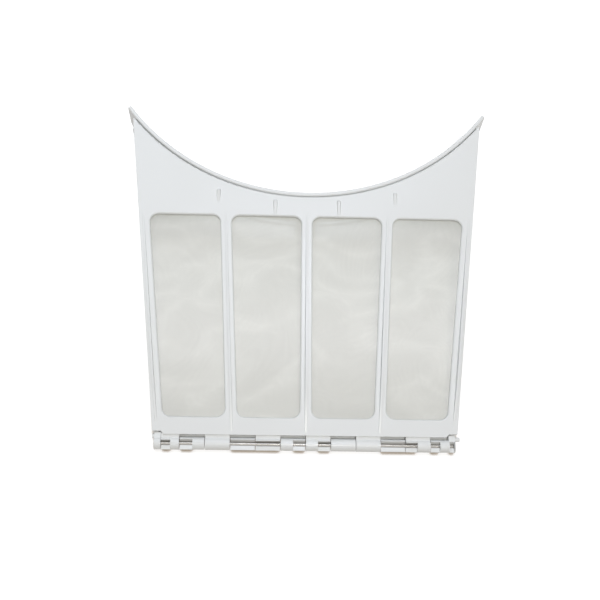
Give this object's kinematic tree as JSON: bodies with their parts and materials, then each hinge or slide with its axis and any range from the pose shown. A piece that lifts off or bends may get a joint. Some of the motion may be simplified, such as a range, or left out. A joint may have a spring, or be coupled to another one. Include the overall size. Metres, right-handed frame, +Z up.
{
  "type": "tumble dryer lint filter",
  "caption": "Book-type lint filter: two hinged white frames with fine mesh windows form a wedge-shaped pocket with a curved open mouth.",
  "frame": {"origin": "centre of the bounding box at its base, with the closed filter lying on the flat back of its rear half", "axes": "+X across the width, +Y from the hinge to the curved mouth, +Z up out of the rear half's inside face"},
  "size_m": [0.3124, 0.2876, 0.0675],
  "materials": {
    "white_plastic": "satin white moulding",
    "rod_steel": "bright drawn wire",
    "mesh": "fine woven polyester"
  },
  "bodies": {
    "rear_half": {"rear_frame": "white_plastic", "hinge_rod": "rod_steel", "rear_mesh_1": "mesh", "rear_mesh_2": "mesh", "rear_mesh_3": "mesh", "rear_mesh_4": "mesh"},
    "front_half": {"front_frame": "white_plastic", "front_mesh_1": "mesh", "front_mesh_2": "mesh", "front_mesh_3": "mesh", "front_mesh_4": "mesh"}
  },
  "joints": [
    {"name": "book_hinge", "type": "hinge", "parent": "rear_half", "child": "front_half", "pos_m": [0, -0.13878, 0.005], "axis": [1, 0, 0], "range_deg": [0, 165]}
  ]
}
